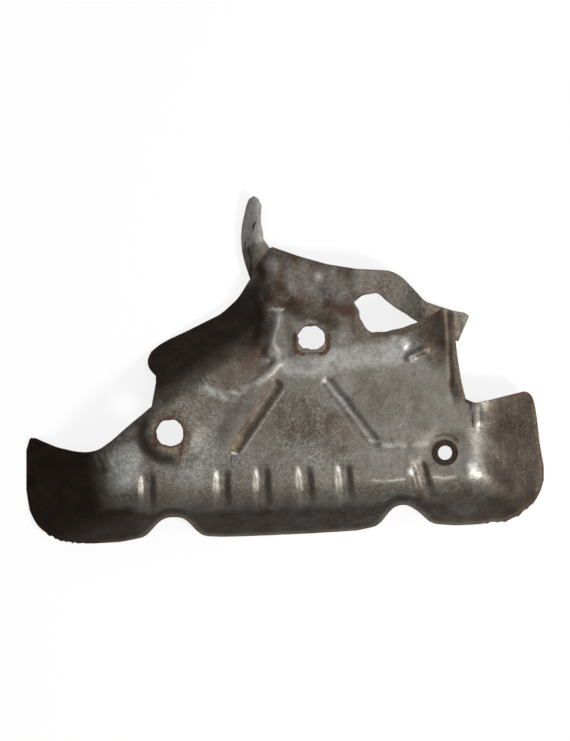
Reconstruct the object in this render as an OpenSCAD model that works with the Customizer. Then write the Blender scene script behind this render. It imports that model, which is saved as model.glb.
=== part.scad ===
// Exhaust manifold heat shield, pressed from one steel sheet, with one bolt eyelet.
// It lies on its rim with the hot side down: length along X, tongue towards +Y,
// +Z out of the main face, and the origin under the middle of its plan.

/* [Overall] */
// Length between the two end rims
shield_l = 371; // [340:1:400]
// Width from the bottom rim to the tip of the tongue
shield_w = 249; // [230:1:270]
// Height of the main face over the rim
face_h = 38; // [32:1:46]
// Thickness of the steel sheet
sheet_t = 1; // [0.8:0.1:1.4]

/* [Pressed walls] */
// Slope of the bottom wall, in degrees
bottom_wall_deg = 52; // [46:1:60]
// Slope of the left end, in degrees
left_end_deg = 30; // [26:1:34]
// Slope of the right end, in degrees
right_end_deg = 40; // [36:1:46]
// Slope of the upper left flange, in degrees
flange_deg = 46; // [40:1:50]
// Slope of the region above the centre hole, in degrees
top_fall_deg = 26; // [20:1:28]
// Slope of the flange's side of the upright ridge, in degrees
ridge_fall_deg = 45; // [35:1:50]
// Height over which the end bends round off
bend_soft = 13; // [8:1:16]
// Height over which the long bottom bend rounds off
bottom_soft = 18; // [12:1:22]

/* [Wing and strip] */
// Rise of the torn wing's tip over the main face
wing_rise = 11; // [6:1:15]
// Width of the turned-down band along the wing's right edge
wing_band_w = 7; // [5:0.5:9]
// Slope of that band, in degrees
wing_band_deg = 40; // [25:1:48]
// Height of the strip's free end over the rim's level
strip_end_h = 1; // [0:0.5:6]

/* [Stiffening beads] */
// Width of the beads across the bottom bend
rib_w = 11; // [8:0.5:13]
// Depth of the beads across the bottom bend
rib_d = 3; // [2:0.25:4]
// Width of the two slanting beads
slant_w = 8.5; // [7:0.5:10]
// Depth of the two slanting beads
slant_d = 2.5; // [1.5:0.25:3]
// Length of the gusset bead on the wing
gusset_l = 17; // [12:1:20]
// Rise of the gusset bead
gusset_rise = 2; // [1:0.25:3]

/* [Holes] */
// Diameter of the left hole
left_hole_d = 18.6; // [14:0.2:20]
// Height of the boss round the left hole
left_boss_h = 2.5; // [1:0.25:4]
// Diameter of the hole under the top region
centre_hole_d = 19; // [14:0.2:20]
// Tilt of the flat seat round that hole, in degrees
centre_seat_deg = 10; // [5:1:15]
// Drop of that seat's middle below the main face
centre_seat_drop = 1.5; // [0.5:0.25:3]
// Width of the torn slits beside the two open holes
slit_w = 1.2; // [0.8:0.1:2]

/* [Bolt eyelet] */
// Bore of the eyelet
eyelet_bore_d = 10; // [8:0.2:11]
// Diameter of the eyelet's upper collar
eyelet_collar_d = 18; // [16.5:0.5:20]
// Thickness of the eyelet's upper collar
eyelet_collar_t = 1.2; // [0.8:0.1:2]
// Wall of the eyelet's neck
eyelet_neck_t = 1.4; // [1:0.1:2]
// Gap between the neck and the hole in the sheet
eyelet_gap = 0.1; // [0.05:0.05:0.3]
// Width of the rolled rim under the sheet, beyond the neck
eyelet_roll_w = 1.6; // [1:0.1:2]
// Thickness of the rolled rim
eyelet_roll_t = 1; // [0.8:0.1:1.5]
// Depth of the recessed seat that holds the eyelet
seat_depth = 1.25; // [1:0.25:2.5]
// Width of the seat's flat, beyond the collar
seat_land_w = 1.5; // [1:0.25:3]
// Width of the seat's sloping side
seat_side_w = 5; // [3:0.5:7]

/* [Hidden] */
$fn = 96;

// The outline below is drawn at this length and width and stretched to the real ones
drawn_l = 371;
drawn_w = 249;
kx = shield_l / drawn_l;
ky = shield_w / drawn_w;

// Places in the drawn plan
rib_x = [-96.5, -44, -16, 13.5, 41, 93.5];
rib_top_y = [-75, -73, -71, -70, -68, -65];
rib_fade_y = [-97, -102, -102, -101, -100, -92];
left_hole = [-80, -44];
centre_hole = [19, 23];
eyelet = [112.5, -58];
slants = [[[-5.5, -11], [-35, -55]], [[30.5, -9], [62.5, -50.5]]];
gusset = [94, 11];
slits = [[[-91, -48], 13, 0], [[-72, -59], 13, 4], [[7, 19], 12, 0], [[31, 19], 12, -3]];
left_x = -185.2;
ridge_x = -16;
tongue_x = -24.5;
open_x = 50;
shoulder_x = 128.5;
right_x = 186;
rim_y = -118.2;
rim_lean = 0.045;
flange_foot = [-96.5, 14];
flange_turn = 32.8;
top_fold = [-21, 21];
top_turn = 18.7;
wing_fold = [72.5, 28];
wing_turn = 40.9;

// Rails across the sheet as [column, x, y]: the bottom edge with its two stud notches
bottom_rail = [
    [left_x, left_x, -86], [-183.2, -183.2, -99], [-179.8, -179.8, -107],
    [-174, -174, -114], [-168, -168, -119], [-161, -161, -122.6], [-152, -152, -124.5],
    [-136, -136, -124.3], [-118, -118, -123.2], [-104.6, -104.6, -120.6],
    [-100, -100, -119.6], [-95.5, -95.5, -115.4], [-91, -91, -109.9], [-86.5, -86.5, -106],
    [-82, -82, -104.4], [-74, -74, -104.4], [-69.6, -69.6, -106], [-65.3, -65.3, -111.6],
    [-61.5, -61.5, -116.2], [-57.7, -57.7, -119], [-45, -45, -119.6], [5, 5, -118],
    [53, 53, -115], [62, 62, -112.9], [67, 67, -111.2], [71.5, 71.5, -104.8],
    [75.2, 75.2, -98.6], [79, 79, -95.8], [84, 84, -94.8], [88, 88, -95.6],
    [96.3, 96.3, -101.3], [101, 101, -106.2], [105.3, 105.3, -109.3], [110, 110, -110.4],
    [121, 121, -111.7], [140, 140, -110.6], [158, 158, -109.3], [166, 166, -105.8],
    [171, 171, -101.8], [176, 176, -97.3], [180, 180, -93], [183.6, 183.6, -86.5],
    [right_x, right_x, -79]];
// Upper edge of both ends, joined through the main face
waist_rail = [
    [left_x, left_x, -57.5], [-182.4, -182.4, -48.8], [-179.4, -179.4, -48],
    [-174, -174, -50.6], [-162, -162, -55], [-147.4, -147.4, -57.8], [-138.6, -138.6, -58],
    [-130.5, -130.5, -56], [-121.5, -121.5, -49.8], [-112.5, -112.5, -41.8],
    [-103.6, -103.6, -34.2], [-98.8, -98.8, -30.4], [-92, -93.4, -25.4], [-60, -60, -18],
    [0, 0, -14], [90, 90, -14], [shoulder_x, 126.8, -19.5], [132, 132, -23.2],
    [143.5, 143.5, -21.4], [156.5, 156.5, -18.4], [165, 165, -16.4], [172, 172, -14.8],
    [176.6, 176.6, -19.4], [178.6, 178.6, -24], [180, 180, -34], [182.4, 182.4, -51.5],
    [184, 184, -60], [right_x, right_x, -69]];
// Lower edge of the torn opening, out to the wing's tip
open_low_rail = [
    [-92, -91, -9], [-60, -62, 9], [-24, -24, 28], [0, 0, 34], [open_x, 53.6, 37],
    [54, 55.3, 31], [58, 59.5, 27], [66, 66, 26], [82, 82, 29.6], [90, 90, 31.7],
    [106, 103, 38.7], [114, 109, 42.5], [120, 113, 43], [shoulder_x, 118.3, 40]];
// Upper edge of the torn opening, out along the strip's lower edge
open_top_rail = [
    [-92, -91.3, -4], [-60, -62.5, 14], [-24, -24.5, 37], [0, 0, 46], [open_x, 48.7, 46.6],
    [52, 50.8, 50.2], [55, 54.7, 52.8], [60, 59.8, 54], [68, 67.6, 53.8], [73, 72, 49.4],
    [79, 77.5, 45.2], [90, 88.3, 38.2], [98, 96.5, 33.2], [shoulder_x, 124.5, 20.5]];
// Top edge: flange, foot of the tongue, top region and strip
top_rail = [
    [-92, -97.8, 7.4], [-90, -96.2, 12.6], [-86, -90.5, 17.8], [-79, -82.5, 22.2],
    [-68, -69.5, 28], [-45, -45, 40.3], [-32, -32.3, 52], [tongue_x, tongue_x, 65],
    [-11.5, -10.6, 88.6], [10, 10, 81], [30, 30, 75], [51, 51, 71.4], [75, 75, 70.4],
    [83, 83, 66.4], [95, 95, 54.4], [100, 99.6, 49], [109, 110, 45.8], [120, 122, 42.3],
    [126, 129.4, 41], [shoulder_x, 132.4, 38.7]];
tip_rail = [
    [tongue_x, -27.3, 117], [-20, -25.3, 122], [-16, -21.6, 124.3], [-13.5, -18.2, 121.8],
    [-11.5, -16.2, 117]];

// Columns: four across each bead, and plain spans between them
gap_step = 6.6;
fine_step = 4.4;
bead_step = rib_w / kx / 3.9;
function span(a, b, step) =
    let (n = max(1, ceil((b - a) / step))) [for (k = [0:n - 1]) a + (b - a) * k / n];
function rib_lo(k) = rib_x[k] - rib_w / 2 / kx;
function rib_hi(k) = rib_x[k] + rib_w / 2 / kx;
columns = concat(
    span(left_x, rib_lo(0), gap_step), span(rib_lo(0), rib_hi(0), bead_step),
    span(rib_hi(0), -60, fine_step), span(-60, rib_lo(1), gap_step),
    span(rib_lo(1), rib_hi(1), bead_step), span(rib_hi(1), tongue_x, gap_step),
    span(tongue_x, rib_lo(2), gap_step), span(rib_lo(2), rib_hi(2), bead_step),
    span(rib_hi(2), rib_lo(3), fine_step), span(rib_lo(3), rib_hi(3), bead_step),
    span(rib_hi(3), rib_lo(4), fine_step), span(rib_lo(4), rib_hi(4), bead_step),
    span(rib_hi(4), open_x, gap_step), span(open_x, rib_lo(5), gap_step),
    span(rib_lo(5), rib_hi(5), bead_step), span(rib_hi(5), shoulder_x, fine_step),
    span(shoulder_x, right_x, gap_step), [right_x]);
col_count = len(columns) - 1;
function column_at(x) = [for (i = [0:col_count]) if (columns[i] > x - 0.01) i][0];
flange_col = column_at(rib_hi(0));
tongue_lo_col = column_at(tongue_x);
tongue_hi_col = column_at(rib_hi(2));
open_col = column_at(open_x);
shoulder_col = column_at(shoulder_x);

// Rows of cells between one rail and the next
rail_rows = [18, 9, 2, 5, 6];
rails = [bottom_rail, waist_rail, open_low_rail, open_top_rail, top_rail, tip_rail];
row_rail = [for (r = [0:4]) for (k = [0:rail_rows[r] - 1]) [r, k / rail_rows[r]], [4, 1]];
row_count = len(row_rail) - 1;
tongue_bow_left = 5.2;
tongue_bow_right = 2.8;
tongue_columns = 13;
wing_bow = 1.7;

rail_x = [for (rail = rails) [for (p = rail) [p[0], p[1]]]];
rail_y = [for (rail = rails) [for (p = rail) [p[0], p[2]]]];
function on_rail(r, u) = [lookup(u, rail_x[r]), lookup(u, rail_y[r])];
rail_points = [for (r = [0:5]) [for (u = columns) on_rail(r, u)]];
function plan_point(i, j) =
    let (
        r = row_rail[j][0],
        s = row_rail[j][1],
        t = (columns[i] - tongue_x) / tongue_columns,
        bow = r == 4 ? tongue_bow_left * (1 - t) + tongue_bow_right * t
            : r == 1 ? wing_bow * ease((columns[i] - shoulder_x) / 28 + 1) : 0)
    rail_points[r][i] * (1 - s) + rail_points[r + 1][i] * s - [bow * sin(180 * s), 0];

// A cell of the sheet is there unless it is outside the outline or in the opening
function has_cell(i, j) =
    i < 0 || j < 0 || i >= col_count || j >= row_count ? false :
    let (r = row_rail[j][0])
    r == 0 ? true :
    r == 2 ? i >= flange_col && i < open_col :
    r == 4 ? i >= tongue_lo_col && i < tongue_hi_col :
    i >= flange_col && i < shoulder_col;

// Heights: planes that meet in rounded bends
function soft_min(a, b, k) =
    let (h = max(k - abs(a - b), 0) / k) min(a, b) - h * h * k / 4;
function soft_max(a, b, k) = -soft_min(-a, -b, k);
function ease(t) = let (c = min(1, max(0, t))) c * c * (3 - 2 * c);
// How far a place lies past another, in real millimetres, in a direction turned from +Y to -X
function past(x, y, place, turn) =
    (y - place[1]) * ky * cos(turn) - (x - place[0]) * kx * sin(turn);
function bottom_z(x, y) =
    sheet_t + tan(bottom_wall_deg) * (y - rim_y - rim_lean * x) * ky;
function left_z(x) = sheet_t + tan(left_end_deg) * (x - left_x) * kx;
function right_z(x) = sheet_t + tan(right_end_deg) * (right_x - x) * kx;
function top_z(x, y) = face_h - tan(top_fall_deg) * past(x, y, top_fold, top_turn);
function flange_z(x, y) = sheet_t - tan(flange_deg) * past(x, y, flange_foot, flange_turn);
function ridge_z(x, y) = top_z(x, y) + tan(ridge_fall_deg) * (x - ridge_x) * kx;
function pressed_z(x, y) =
    let (
        ends = soft_min(soft_min(face_h, left_z(x), bend_soft * 0.8), right_z(x), bend_soft),
        lower = soft_min(ends, bottom_z(x, y), bottom_soft),
        upper = soft_min(lower, top_z(x, y), bend_soft * 0.6),
        side = soft_max(flange_z(x, y), ridge_z(x, y), bend_soft * 0.3))
    soft_min(upper, side, bend_soft * 0.6);

// Distance in real millimetres between two places in the drawn plan
function reach(x, y, place) = norm([(x - place[0]) * kx, (y - place[1]) * ky]);
flat_share = 0.4;
fade_share = 0.38;
function seat_share(x, y, place, hole_d) =
    1 - ease((reach(x, y, place) / hole_d - 0.5 - flat_share) / fade_share);
left_seat_z = face_h + left_boss_h;
centre_seat_z = face_h - centre_seat_drop;
function centre_plane_z(y) = centre_seat_z - tan(centre_seat_deg) * (y - centre_hole[1]) * ky;
function rib_dip(x, y) = [for (k = [0:len(rib_x) - 1])
    let (
        across = min(1, abs(x - rib_x[k]) * kx / (rib_w / 2)),
        along = ease((rib_top_y[k] + 3 - y) / 8) * ease((y - rib_fade_y[k]) / 12))
    rib_d * (1 + cos(180 * across)) / 2 * along] * [for (k = rib_x) 1];

// The wing rises from a fold across the upper right corner, and its edge turns down
wing_reach = 38 * kx;
wing_edge_x = 121;
wing_edge_lean = 0.08;
band_foot_y = -32;
band_end_x = 136;
gusset_w = gusset_l * 0.38;
gusset_lean = 0.25;
function wing_lift(x, y) =
    let (
        risen = max(0, past(x, y, wing_fold, -wing_turn) / wing_reach),
        inboard = wing_edge_x - wing_band_w / kx - wing_edge_lean * (y - gusset[1]),
        width = min(wing_band_w * 1.3, max(0, (x - inboard) * kx)),
        band = width * ease((band_end_x - x) / 8) * ease((y - band_foot_y) / 26),
        on = abs((x - gusset[0]) * kx) / (gusset_l / 2),
        off = abs(y - gusset[1] - gusset_lean * (x - gusset[0])) * ky / gusset_w,
        bead = (1 + cos(180 * min(1, off))) / 2 * ease((1 - on) * 2.5))
    wing_rise * pow(risen, 1.4) - tan(wing_band_deg) * band + gusset_rise * bead;
strip_run = 76;
function strip_drop(x) = (face_h - strip_end_h - sheet_t) * ease((x - open_x) / strip_run);
top_edge = [for (p = top_rail) [p[1], p[2]]];
function foot_y(x) = lookup(x, top_edge);
function sheet_z(x, y, above) =
    let (
        z = pressed_z(x, above ? min(y, foot_y(x)) : y),
        left = seat_share(x, y, left_hole, left_hole_d),
        centre = seat_share(x, y, centre_hole, centre_hole_d),
        seated = (z * (1 - left) + left_seat_z * left) * (1 - centre)
            + centre_plane_z(y) * centre)
    seated - rib_dip(x, y) + (above ? -strip_drop(x) : wing_lift(x, y));

// Both skins of the sheet: the inner one lies one thickness under the outer one
probe = 0.05;
function skin_point(i, j, depth) =
    let (
        above = j > rail_rows[0] + rail_rows[1],
        p = plan_point(i, j),
        z = sheet_z(p[0], p[1], above),
        dx = (sheet_z(p[0] + probe, p[1], above) - z) / probe / kx,
        dy = (sheet_z(p[0], p[1] + probe, above) - z) / probe / ky,
        n = [-dx, -dy, 1] / norm([dx, dy, 1]))
    [p[0] * kx, p[1] * ky, z] - depth * n;

module pressed_blank() {
    stride = col_count + 1;
    layer = stride * (row_count + 1);
    points = [
        for (depth = [0, sheet_t]) for (j = [0:row_count]) for (i = [0:col_count])
            skin_point(i, j, depth)];
    faces = [
        for (j = [0:row_count - 1]) for (i = [0:col_count - 1]) if (has_cell(i, j))
            let (
                a = j * stride + i,
                b = a + 1,
                c = b + stride,
                d = a + stride,
                sides = [
                    if (!has_cell(i, j - 1)) [a, b],
                    if (!has_cell(i + 1, j)) [b, c],
                    if (!has_cell(i, j + 1)) [c, d],
                    if (!has_cell(i - 1, j)) [d, a]])
            each concat(
                [[a, d, c], [a, c, b], [a + layer, c + layer, d + layer],
                    [a + layer, b + layer, c + layer]],
                [for (s = sides) each [
                    [s[0], s[1], s[1] + layer], [s[0], s[1] + layer, s[0] + layer]]])];
    polyhedron(points = points, faces = faces, convexity = 12);
}

// Round-ended bar along a slanting bead
slant_r = (slant_w * slant_w / 4 + slant_d * slant_d) / (2 * slant_d);
slant_axis_z = face_h + slant_r - slant_d;
module slant_bar(ends, r) {
    hull() for (p = ends) translate([p[0] * kx, p[1] * ky, slant_axis_z]) sphere(r = r, $fn = 22);
}

module slant_bellies() {
    intersection() {
        union() for (ends = slants) slant_bar(ends, slant_r + sheet_t);
        translate([-shield_l / 2, -shield_w / 2, 0])
            cube([shield_l, shield_w, face_h - sheet_t / 2]);
    }
}

// Recessed seat that the eyelet is clenched in
neck_r = eyelet_bore_d / 2 + eyelet_neck_t;
land_r = eyelet_collar_d / 2 + seat_land_w;
seat_r = land_r + seat_side_w;
seat_z = face_h - seat_depth;
seat_lap = 0.6;
module at_eyelet() translate([eyelet[0] * kx, eyelet[1] * ky, 0]) children();
module eyelet_seat() {
    lean = sheet_t * tan(atan2(seat_depth, seat_side_w) / 2);
    at_eyelet() rotate_extrude() polygon([
        [neck_r + eyelet_gap, seat_z], [land_r, seat_z], [seat_r, face_h],
        [seat_r + seat_lap, face_h], [seat_r + seat_lap, face_h - sheet_t],
        [seat_r + lean, face_h - sheet_t], [land_r + lean, seat_z - sheet_t],
        [neck_r + eyelet_gap, seat_z - sheet_t]]);
}

module hole_cutters() {
    cut = 20;
    translate([left_hole[0] * kx, left_hole[1] * ky, left_seat_z - cut / 2])
        cylinder(h = cut, d = left_hole_d);
    translate([centre_hole[0] * kx, centre_hole[1] * ky, centre_seat_z])
        rotate([-centre_seat_deg, 0, 0]) cylinder(h = cut, d = centre_hole_d, center = true);
    for (s = slits) translate([s[0][0] * kx, s[0][1] * ky, face_h])
        rotate([0, 0, s[2]]) cube([slit_w, s[1], cut], center = true);
}

module heat_shield() color([0.46, 0.43, 0.4]) difference() {
    union() {
        difference() {
            pressed_blank();
            at_eyelet() cylinder(h = face_h * 2, r = seat_r);
        }
        eyelet_seat();
        slant_bellies();
    }
    for (ends = slants) slant_bar(ends, slant_r);
    hole_cutters();
}

module bolt_eyelet() color([0.27, 0.2, 0.16]) {
    low_z = seat_z - sheet_t;
    at_eyelet() rotate_extrude() polygon([
        [eyelet_bore_d / 2, low_z - eyelet_roll_t],
        [neck_r + eyelet_roll_w, low_z - eyelet_roll_t],
        [neck_r + eyelet_roll_w, low_z], [neck_r, low_z], [neck_r, seat_z],
        [eyelet_collar_d / 2, seat_z], [eyelet_collar_d / 2, seat_z + eyelet_collar_t],
        [eyelet_bore_d / 2, seat_z + eyelet_collar_t]]);
}

heat_shield();
bolt_eyelet();
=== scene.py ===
"""Exhaust heat shield: the pressed steel sheet and its bolt eyelet, dressed for the render.

The sheet is a pressed blank on the same rails and bends as the solid, with the dents, creases,
torn edges and rust that the solid leaves out. Places are in millimetres in the row frame.
"""
import math

import bpy
import numpy as np
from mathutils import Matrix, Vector, noise
from mathutils.kdtree import KDTree


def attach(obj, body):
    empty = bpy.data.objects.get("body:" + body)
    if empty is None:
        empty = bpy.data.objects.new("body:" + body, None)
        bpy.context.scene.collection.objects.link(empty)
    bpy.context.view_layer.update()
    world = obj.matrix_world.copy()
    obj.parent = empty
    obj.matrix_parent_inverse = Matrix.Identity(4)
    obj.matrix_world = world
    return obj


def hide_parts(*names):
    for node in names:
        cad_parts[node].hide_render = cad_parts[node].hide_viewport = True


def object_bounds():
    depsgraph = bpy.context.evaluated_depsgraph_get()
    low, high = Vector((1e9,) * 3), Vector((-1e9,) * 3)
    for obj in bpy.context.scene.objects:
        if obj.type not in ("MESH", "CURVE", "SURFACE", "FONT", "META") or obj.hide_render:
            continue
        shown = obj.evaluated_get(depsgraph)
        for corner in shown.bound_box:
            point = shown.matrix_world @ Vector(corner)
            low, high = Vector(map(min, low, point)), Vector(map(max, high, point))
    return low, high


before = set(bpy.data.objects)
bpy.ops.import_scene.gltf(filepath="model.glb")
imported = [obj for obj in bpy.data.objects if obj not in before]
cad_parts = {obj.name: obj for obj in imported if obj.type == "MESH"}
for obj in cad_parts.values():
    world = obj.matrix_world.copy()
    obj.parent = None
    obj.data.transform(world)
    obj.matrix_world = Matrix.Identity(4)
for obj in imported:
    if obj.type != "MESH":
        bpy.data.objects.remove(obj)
cad_low, cad_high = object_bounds()
MM = 0.001

# Sizes shared with the solid
FACE_H = 38.0
SHEET_T = 1.0
BOTTOM_WALL = math.tan(math.radians(52))
LEFT_END = math.tan(math.radians(30))
RIGHT_END = math.tan(math.radians(40))
FLANGE = math.tan(math.radians(46))
TOP_FALL = math.tan(math.radians(26))
RIDGE_FALL = math.tan(math.radians(45))

# How far each bend rounds over
BEND_SOFT, BOTTOM_SOFT, RIDGE_SOFT = 13.0, 18.0, 4.0
LEFT_SOFT, TOP_SOFT = 0.8 * BEND_SOFT, 0.6 * BEND_SOFT

# Fold lines: a place on the line, and the direction across it
RIM_Y, RIM_LEAN = -118.2, 0.045
TOP_FOLD, TOP_WAY = (-21, 21), (-0.32, 0.947)
FLANGE_FOOT, FLANGE_WAY = (-96.5, 14), (0.542, -0.84)
WING_FOLD, WING_WAY = (72.5, 28), (0.655, 0.755)

# The bent-up wing, its turned-down band and its gusset bead, and the loose strip
WING_RISE, WING_REACH, WING_CURL = 11.0, 38.0, 1.4
BAND_PLACE, BAND_LEAN, BAND_W, BAND_FALL = (114, 12), 0.08, 9, 0.84
FOLD_SOFT = 2.2
GUSSET, GUSSET_W, GUSSET_H = ((86.8, 9.0), (98, 14.4)), 4.0, 2.0
STRIP_END_H, STRIP_RUN = 1.0, 76

# Places along the sheet, and its three holes with their seats
LEFT_X, RIGHT_X = -185.2, 186.0
RIDGE_X, TONGUE_X, TONGUE_HI_X = -16.0, -24.5, -11.5
FLANGE_X, OPEN_X, SHOULDER_X = -92.0, 50.0, 128.5
LEFT_HOLE, LEFT_HOLE_R = (-80.0, -44.0), 9.3
CENTRE_HOLE, CENTRE_HOLE_R = (19.0, 23.0), 9.5
LEFT_LAND_R, LEFT_SEAT_W, LEFT_SEAT_RISE = 12.5, 13.0, 2.0
CENTRE_LAND_R, CENTRE_SEAT_W, CENTRE_DROP, CENTRE_TILT = 12.0, 12.0, 1.5, 10
EYELET = (112.5, -58.0)
SEAT_DEPTH, LAND_R, SEAT_R = 1.25, 9.6, 22.0

# Beads across the bottom bend, and the two slanting ones on the face
RIB_X = [-96.5, -44, -16, 13.5, 41, 93.5]
RIB_TOP = [-73, -70, -69, -68, -67, -64]
RIB_FADE = [-105, -107, -107, -106, -105, -101]
RIB_LEAN = [0.0, 0.0, 0.02, 0.08, 0.1, 0.28]
RIB_W, RIB_D, RIB_FLAT = 13.0, 1.8, 0.3
RIB_START, RIB_RISE, RIB_RUN_OUT = 5, 13, 14
SLANTS = [((-5.5, -11), (-35, -55)), ((30.5, -9), (62.5, -50.5))]
SLANT_W, SLANT_D = 11.5, 1.6

# Rails across the sheet as (column, x, y), as in the solid
BOTTOM = [
    (LEFT_X, LEFT_X, -86), (-183.2, -183.2, -99), (-179.8, -179.8, -107),
    (-174, -174, -114), (-168, -168, -119), (-161, -161, -122.6), (-152, -152, -124.5),
    (-136, -136, -124.3), (-118, -118, -123.2), (-104.6, -104.6, -120.6),
    (-100, -100, -119.6), (-95.5, -95.5, -115.4), (-91, -91, -109.9), (-86.5, -86.5, -106),
    (-82, -82, -104.4), (-74, -74, -104.4), (-69.6, -69.6, -106), (-65.3, -65.3, -111.6),
    (-61.5, -61.5, -116.2), (-57.7, -57.7, -119), (-45, -45, -119.6), (5, 5, -118),
    (53, 53, -115), (62, 62, -112.9), (67, 67, -111.2), (71.5, 71.5, -104.8),
    (75.2, 75.2, -98.6), (79, 79, -95.8), (84, 84, -94.8), (88, 88, -95.6),
    (96.3, 96.3, -101.3), (101, 101, -106.2), (105.3, 105.3, -109.3), (110, 110, -110.4),
    (121, 121, -111.7), (140, 140, -110.6), (158, 158, -109.3), (166, 166, -105.8),
    (171, 171, -101.8), (176, 176, -97.3), (180, 180, -93), (183.6, 183.6, -86.5),
    (RIGHT_X, RIGHT_X, -79)]
WAIST = [
    (LEFT_X, LEFT_X, -57.5), (-182.4, -182.4, -48.8), (-179.4, -179.4, -48),
    (-174, -174, -50.6), (-162, -162, -55), (-147.4, -147.4, -57.8), (-138.6, -138.6, -58),
    (-130.5, -130.5, -56), (-121.5, -121.5, -49.8), (-112.5, -112.5, -41.8),
    (-103.6, -103.6, -34.2), (-98.8, -98.8, -30.4), (-92, -93.4, -25.4), (-60, -60, -18),
    (0, 0, -14), (90, 90, -14), (SHOULDER_X, 126.8, -19.5), (132, 132, -23.2),
    (143.5, 143.5, -21.4), (156.5, 156.5, -18.4), (165, 165, -16.4), (172, 172, -14.8),
    (176.6, 176.6, -19.4), (178.6, 178.6, -24), (180, 180, -34), (182.4, 182.4, -51.5),
    (184, 184, -60), (RIGHT_X, RIGHT_X, -69)]
OPEN_LOW = [
    (-92, -91, -9), (-60, -62, 9), (-24, -24, 28), (0, 0, 34), (OPEN_X, 53.6, 37),
    (54, 55.3, 31), (58, 59.5, 27), (66, 66, 26), (82, 82, 29.6), (90, 90, 31.7),
    (106, 103, 38.7), (114, 109, 42.5), (120, 113, 43), (SHOULDER_X, 118.3, 40)]
OPEN_TOP = [
    (-92, -91.3, -4), (-60, -62.5, 14), (-24, -24.5, 37), (0, 0, 46), (OPEN_X, 48.7, 46.6),
    (52, 50.8, 50.2), (55, 54.7, 52.8), (60, 59.8, 54), (68, 67.6, 53.8), (73, 72, 49.4),
    (79, 77.5, 45.2), (90, 88.3, 38.2), (98, 96.5, 33.2), (SHOULDER_X, 124.5, 20.5)]
TOP = [
    (-92, -97.8, 7.4), (-90, -96.2, 12.6), (-86, -90.5, 17.8), (-79, -82.5, 22.2),
    (-68, -69.5, 28), (-45, -45, 40.3), (-32, -32.3, 52), (TONGUE_X, TONGUE_X, 65),
    (-11.5, -10.6, 88.6), (10, 10, 81), (30, 30, 75), (51, 51, 71.4), (75, 75, 70.4),
    (83, 83, 66.4), (95, 95, 54.4), (100, 99.6, 49), (109, 110, 45.8), (120, 122, 42.3),
    (126, 129.4, 41), (SHOULDER_X, 132.4, 38.7)]
TIP = [
    (TONGUE_X, -27.3, 117), (-20, -25.3, 122), (-16, -21.6, 124.3), (-13.5, -18.2, 121.8),
    (-11.5, -16.2, 117)]
RAILS = [BOTTOM, WAIST, OPEN_LOW, OPEN_TOP, TOP, TIP]

# Bands between the rails from the bottom rim upwards, and the rows of cells in each
LOWER, MIDDLE, TORN, UPPER, TONGUE = range(5)
RAIL_ROWS = [80, 36, 8, 20, 30]
COLUMN_STEP = 1.25
RAIL_ROUND = 2
SLOPE_STEP = 0.05

# How far the outline bows between two rails
TONGUE_BOW_LEFT, TONGUE_BOW_RIGHT, TONGUE_NECK = 5.2, 2.8, 1.3
WING_BOW, TEAR_BOW, FLANGE_BOW = 1.7, 1.3, 2.0

# Ragged rims, as start, end, depth and size of the teeth, and the torn opening's uneven edge
LEFT_TEETH, RIGHT_TEETH = (-176, -140, 1.6, 3.1), (140, 178, 2.1, 6)
TORN_DEPTH, TORN_SIZE = 0.9, 5.3

# Slight wander of the sheet, as depth, size and seed
WANDER = [(0.5, 34, 1.7), (0.22, 13, 4.4), (0.06, 5, 9.1)]


def ease(t):
    t = np.clip(t, 0, 1)
    return t * t * (3 - 2 * t)


def rise(value, start, run):
    """From 0 at the start to 1 a run past it."""
    return ease((value - start) / run)


def fall(value, end, run):
    """From 1 a run before the end to 0 at it."""
    return ease((end - value) / run)


def past(x, y, place, way):
    """How far a point lies past a fold line."""
    return way[0] * (x - place[0]) + way[1] * (y - place[1])


def near(x, y, place, core, fade):
    """1 within the core's radius of a place, fading to 0."""
    return 1 - ease((np.hypot(x - place[0], y - place[1]) - core) / fade)


def soft_min(a, b, k):
    h = np.maximum(k - np.abs(a - b), 0) / k
    return np.minimum(a, b) - h * h * k / 4


def soft_max(a, b, k):
    return -soft_min(-a, -b, k)


def line_distance(x, y, start, end):
    """Distance from a line's stretch, and the share of the way along it."""
    sx, sy = start
    ex, ey = end
    run = max((ex - sx) ** 2 + (ey - sy) ** 2, 1e-9)
    t = np.clip(((x - sx) * (ex - sx) + (y - sy) * (ey - sy)) / run, 0, 1)
    return np.hypot(x - sx - t * (ex - sx), y - sy - t * (ey - sy)), t


def value_noise(x, y, size, seed):
    """Smooth noise from -1 to 1 over the plan, with bumps about size apart."""
    return np.array([noise.noise(Vector((a / size, b / size, seed))) for a, b in zip(x, y)])


# Heights of the pressed sheet

def pressed_height(x, y):
    """The face, walls, ends, flange, ridge and top region, which meet in soft bends."""
    ends = soft_min(FACE_H + 0 * x, SHEET_T + LEFT_END * (x - LEFT_X), LEFT_SOFT)
    ends = soft_min(ends, SHEET_T + RIGHT_END * (RIGHT_X - x), BEND_SOFT)
    bottom = SHEET_T + BOTTOM_WALL * (y - RIM_Y - RIM_LEAN * x)
    top = FACE_H - TOP_FALL * past(x, y, TOP_FOLD, TOP_WAY)
    flange = SHEET_T + FLANGE * past(x, y, FLANGE_FOOT, FLANGE_WAY)
    ridge = top + RIDGE_FALL * (x - RIDGE_X)
    upper = soft_min(soft_min(ends, bottom, BOTTOM_SOFT), top, TOP_SOFT)
    return soft_min(upper, soft_max(flange, ridge, RIDGE_SOFT), TOP_SOFT)


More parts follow.
